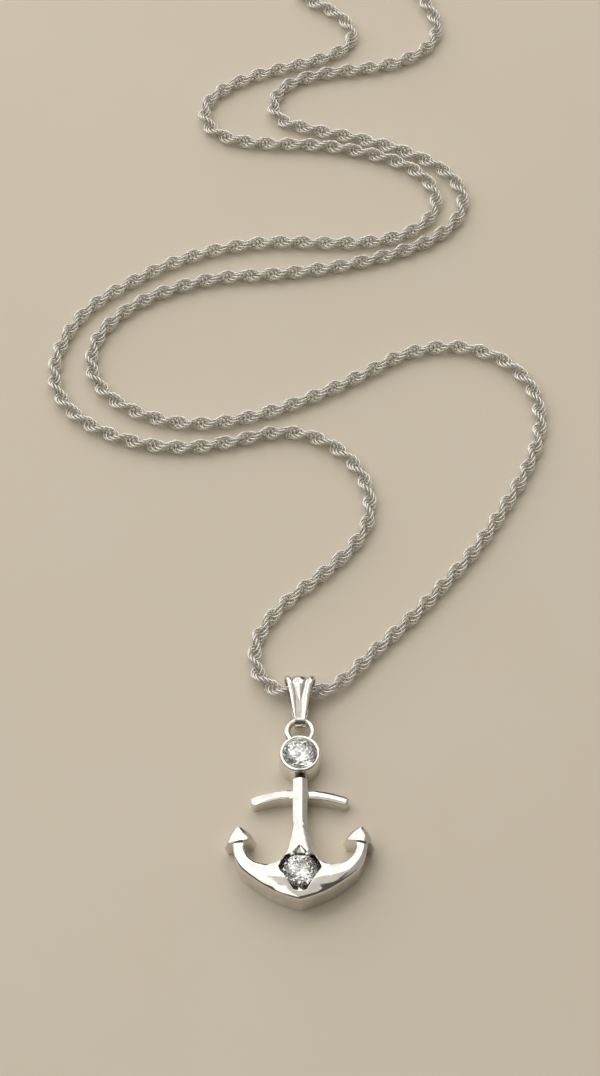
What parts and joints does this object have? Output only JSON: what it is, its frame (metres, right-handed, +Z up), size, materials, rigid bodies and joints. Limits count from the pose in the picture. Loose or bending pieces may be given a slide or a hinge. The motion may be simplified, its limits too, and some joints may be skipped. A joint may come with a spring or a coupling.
{
  "type": "pendant necklace",
  "caption": "Silver anchor pendant set with clear round stones, hung by a folded bail on a twisted rope chain that lies in loose S-bends and closes with a clasp.",
  "frame": {"origin": "on the surface that the necklace lies on, under the centre of the bezel's stone, at the anchor's flat back", "axes": "+Z up from the surface, through the stones; +Y from the pendant along the chain towards the clasp; +X to the right as the pendant is read"},
  "size_m": [0.0779, 0.1865, 0.005],
  "materials": {
    "pendant_silver": "polished sterling silver",
    "bail_silver": "polished sterling silver, satin inside",
    "chain_silver": "polished wire, darker between the links",
    "finding_silver": "polished sterling silver",
    "clear_stone": "cut and polished clear stone"
  },
  "bodies": {
    "root": {"anchor": "pendant_silver", "bezel_stone": "clear_stone", "crown_stone": "clear_stone", "bail": "bail_silver", "rope_chain_left": "chain_silver", "rope_chain_right": "chain_silver", "end_cap_left": "finding_silver", "end_cap_right": "finding_silver", "jump_ring_left": "finding_silver", "jump_ring_right": "finding_silver", "clasp": "finding_silver"}
  },
  "joints": []
}
